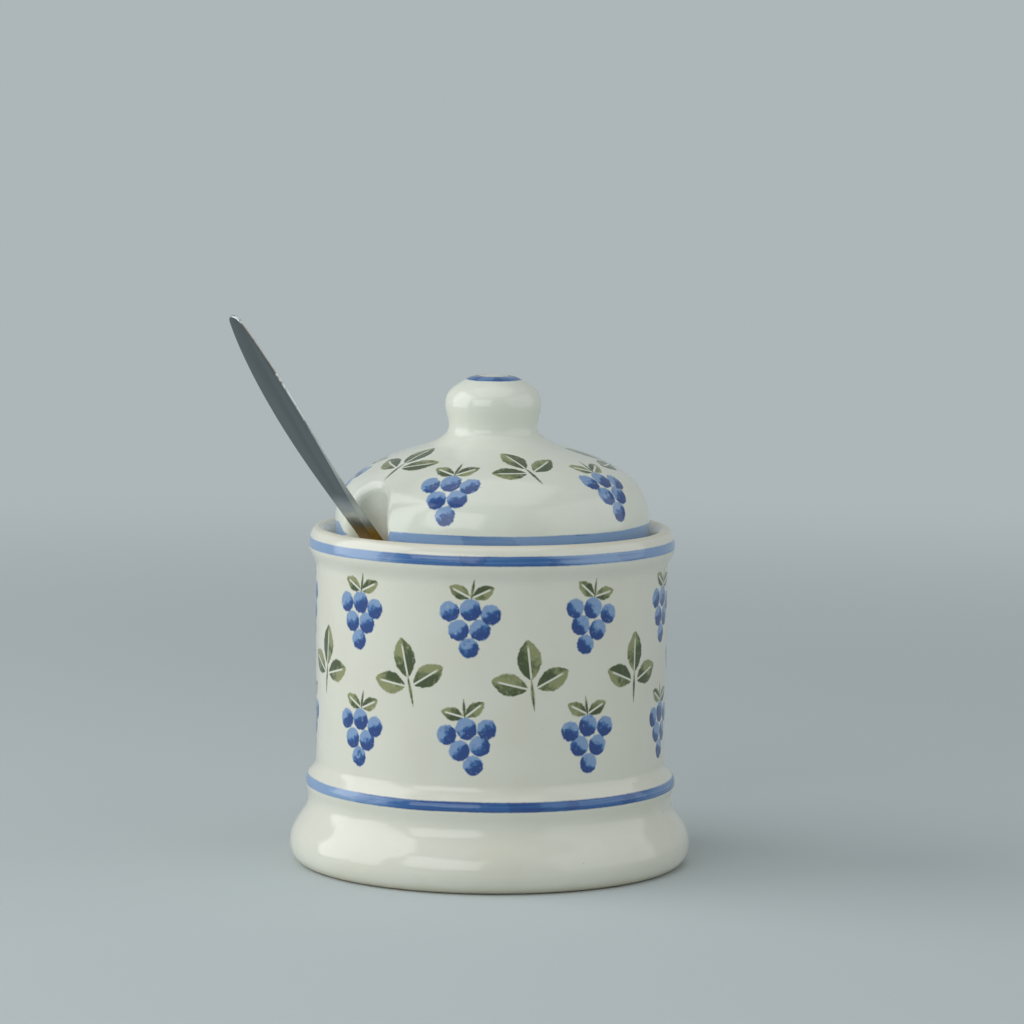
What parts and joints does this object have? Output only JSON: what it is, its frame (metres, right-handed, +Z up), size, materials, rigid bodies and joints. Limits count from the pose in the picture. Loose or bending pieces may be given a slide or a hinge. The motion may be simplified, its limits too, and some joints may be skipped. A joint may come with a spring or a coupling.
{
  "type": "jam pot",
  "caption": "Lidded earthenware jam pot with a flared foot, rolled rim and domed knobbed lid, whose notch lets a jam spoon stand in it.",
  "frame": {"origin": "middle of the foot's resting face, on the pot's axis", "axes": "+Z up along the pot's axis, -Y the front, -X the side to which the spoon leans when seen from the front"},
  "size_m": [0.1115, 0.0986, 0.1371],
  "materials": {
    "pot_glaze": "gloss",
    "lid_glaze": "gloss",
    "spoon_metal": "satin"
  },
  "bodies": {
    "pot": {"pot": "pot_glaze"},
    "lid": {"lid": "lid_glaze"},
    "spoon": {"spoon": "spoon_metal"}
  },
  "joints": [
    {"name": "lid_lift", "type": "slide", "parent": "pot", "child": "lid", "axis": [0, 0, 1], "range_m": [0, 0.075]},
    {"name": "spoon_draw", "type": "slide", "parent": "pot", "child": "spoon", "axis": [-0.5036, -0.3659, 0.7826], "range_m": [0, 0.034]}
  ]
}
